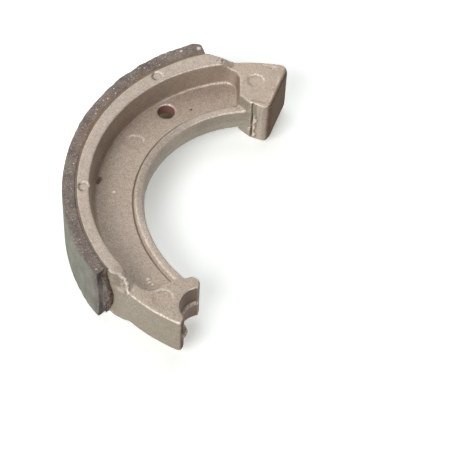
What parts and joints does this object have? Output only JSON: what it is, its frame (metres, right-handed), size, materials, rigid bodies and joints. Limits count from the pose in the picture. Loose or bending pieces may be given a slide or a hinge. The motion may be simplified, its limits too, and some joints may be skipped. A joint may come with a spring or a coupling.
{
  "type": "brake shoe",
  "caption": "Drum-brake shoe: die-cast aluminium crescent with a sunken web, a bonded friction lining, a flat cam end and a half-round notch for the anchor pin.",
  "frame": {"origin": "on the axis of the brake drum, level with the shoe's lower face, on which it lies", "axes": "+Z along the drum axis, +Y towards the cam end, the shoe on the -X side of the plane x = 0 that divides the two shoes of the brake"},
  "size_m": [0.0625, 0.1141, 0.0245],
  "materials": {
    "cast_aluminium": "as-cast satin",
    "friction_material": "matt, speckled",
    "adhesive": "matt"
  },
  "bodies": {
    "root": {"shoe_body": "cast_aluminium", "friction_lining": "friction_material", "adhesive_film": "adhesive"}
  },
  "joints": []
}
